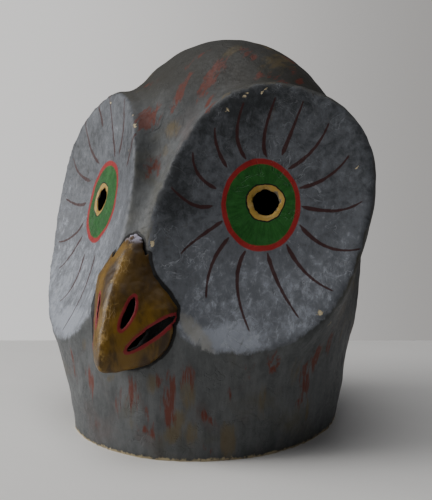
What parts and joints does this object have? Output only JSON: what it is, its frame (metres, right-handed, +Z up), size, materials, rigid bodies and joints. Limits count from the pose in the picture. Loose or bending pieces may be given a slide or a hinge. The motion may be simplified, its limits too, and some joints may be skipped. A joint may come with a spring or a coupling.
{
  "type": "owl carnival mask",
  "caption": "Full-head owl mask of painted papier-mache: open neck rim, scooped eye discs with peep holes, hollow hooked beak with slits.",
  "frame": {"origin": "middle of the bounding box, on the floor plane under the neck rim", "axes": "+Z up through the crown, -Y the way the face and beak look, +X the mask's own left side (the near eye in the picture)"},
  "size_m": [0.378, 0.3468, 0.3907],
  "materials": {
    "grey_paint": "matt brushed paint on papier-mache",
    "ochre_varnish": "satin varnished paint on papier-mache"
  },
  "bodies": {
    "root": {"mask_shell": "grey_paint", "beak": "ochre_varnish"}
  },
  "joints": []
}
